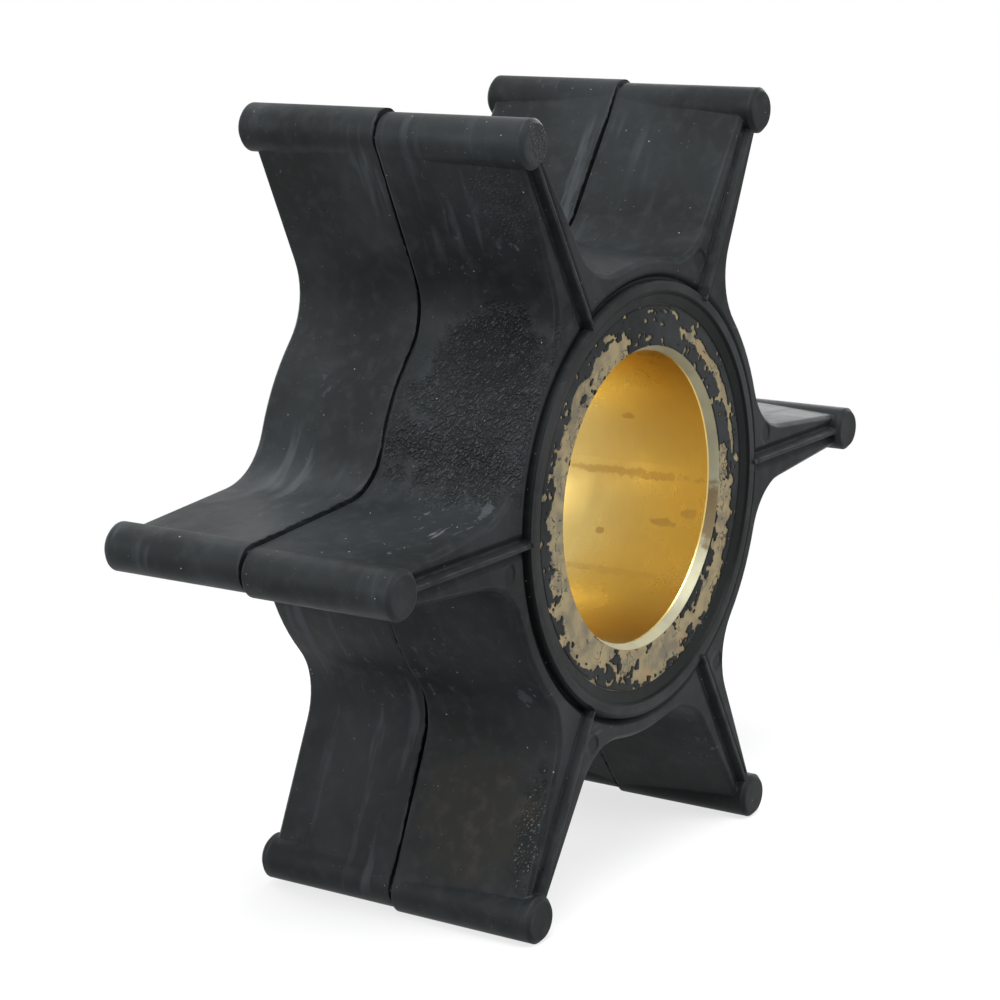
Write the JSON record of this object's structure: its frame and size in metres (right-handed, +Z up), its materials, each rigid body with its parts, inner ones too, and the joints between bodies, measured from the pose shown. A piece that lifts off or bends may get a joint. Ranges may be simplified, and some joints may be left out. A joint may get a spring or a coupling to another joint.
{
  "type": "pump impeller",
  "caption": "Rubber pump impeller with round-tipped vanes and sealing lips, moulded round a plain-bored brass bush.",
  "frame": {"origin": "centre of the bore at mid-width, on the parting plane of the moulding", "axes": "+Y along the bore, the axis that it turns about, from the pictured face to the other; +Z up as it stands on two vane tips; +X along one vane"},
  "size_m": [0.066, 0.024, 0.058],
  "materials": {
    "rubber": "satin moulded, dusty",
    "brass": "turned, lightly stained"
  },
  "bodies": {
    "root": {"rubber_body": "rubber", "bush": "brass"}
  },
  "joints": []
}
